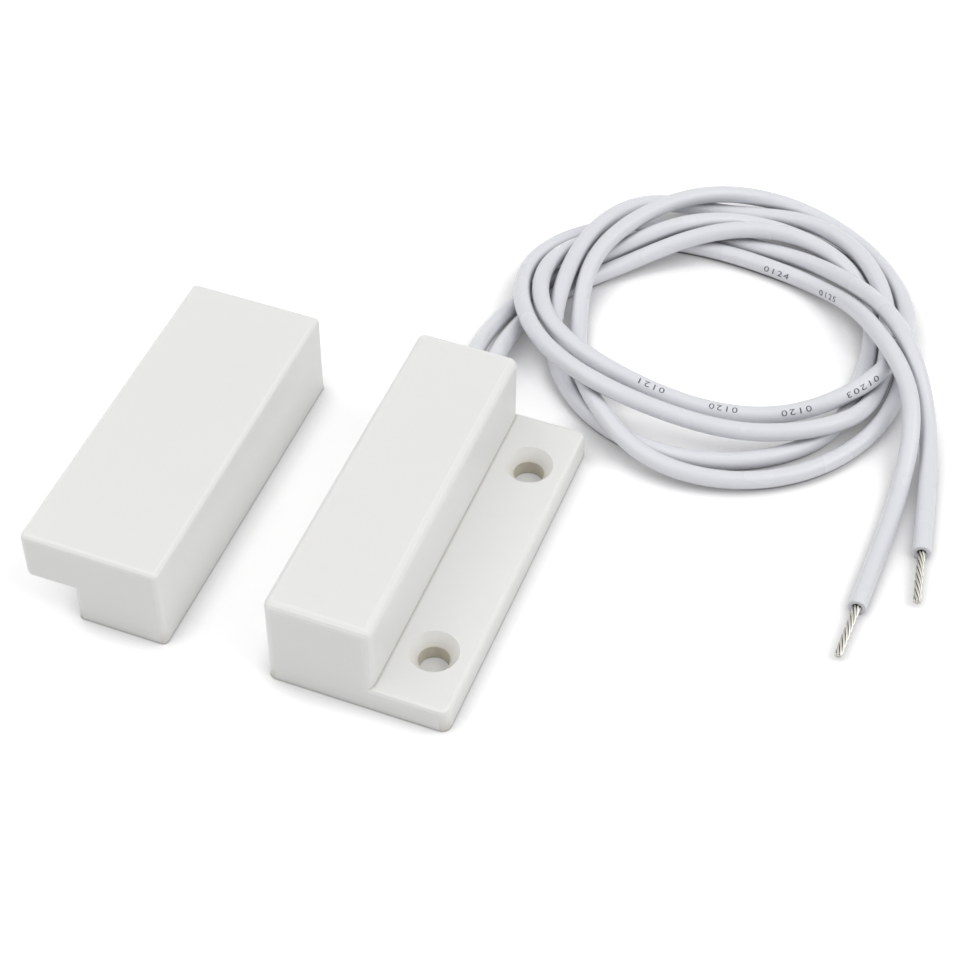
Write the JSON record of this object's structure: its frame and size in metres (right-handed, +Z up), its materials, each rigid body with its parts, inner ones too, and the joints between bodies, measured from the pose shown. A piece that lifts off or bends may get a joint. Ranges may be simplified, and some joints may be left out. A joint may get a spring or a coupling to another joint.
{
  "type": "magnetic door contact",
  "caption": "Surface-mount magnetic door contact: a potted reed switch half with a screw flange and loosely coiled stripped leads, and a stepped bar magnet half.",
  "frame": {"origin": "on the table, at the bottom centre of the box round the two halves, leads left out", "axes": "+Z up, +Y along the halves towards the leads' exit, +X from the magnet half to the switch half's screw flange"},
  "size_m": [0.0906, 0.0928, 0.0124],
  "materials": {
    "white_plastic": "smooth satin white ABS moulding",
    "lead_insulation": "semi-gloss white PVC with a cool tint",
    "tinned_copper": "bright tin on copper strands",
    "nickel_iron": "plain nickel-iron wire and blade",
    "capsule_glass": "clear, slightly green sealing glass",
    "potting_resin": "cast resin, self-levelled and slightly glossy",
    "ferrite": "dark grey sintered ferrite, ground faces"
  },
  "bodies": {
    "halves": {"switch_housing": "white_plastic", "glass_capsule": "capsule_glass", "reed_wire_a": "nickel_iron", "reed_wire_b": "nickel_iron", "splice_a": "tinned_copper", "splice_b": "tinned_copper", "conductor_a_tail": "tinned_copper", "conductor_b_tail": "tinned_copper", "lead_a_tail": "lead_insulation", "lead_b_tail": "lead_insulation", "potting_bed": "potting_resin", "potting_cap": "potting_resin", "lead_a": "lead_insulation", "lead_b": "lead_insulation", "strand_a_0": "tinned_copper", "strand_a_1": "tinned_copper", "strand_a_2": "tinned_copper", "strand_a_3": "tinned_copper", "strand_a_4": "tinned_copper", "strand_a_5": "tinned_copper", "strand_a_6": "tinned_copper", "strand_b_0": "tinned_copper", "strand_b_1": "tinned_copper", "strand_b_2": "tinned_copper", "strand_b_3": "tinned_copper", "strand_b_4": "tinned_copper", "strand_b_5": "tinned_copper", "strand_b_6": "tinned_copper", "magnet_housing": "white_plastic", "bar_magnet": "ferrite", "magnet_plug": "potting_resin"},
    "blade_a": {"reed_blade_a": "nickel_iron"},
    "blade_b": {"reed_blade_b": "nickel_iron"}
  },
  "joints": [
    {"name": "reed_a_flex", "type": "hinge", "parent": "halves", "child": "blade_a", "pos_m": [0.00855, -0.0039, 0.006], "axis": [0, 0, -1], "range_deg": [0, 0.7], "stiffness_Nm_per_rad": 0.005},
    {"name": "reed_b_flex", "type": "hinge", "parent": "halves", "child": "blade_b", "pos_m": [0.00855, 0.0041, 0.006], "axis": [0, 0, -1], "range_deg": [0, 0.7]}
  ],
  "couplings": [
    {"joint": "reed_b_flex", "follows": "reed_a_flex", "ratio": 1}
  ]
}
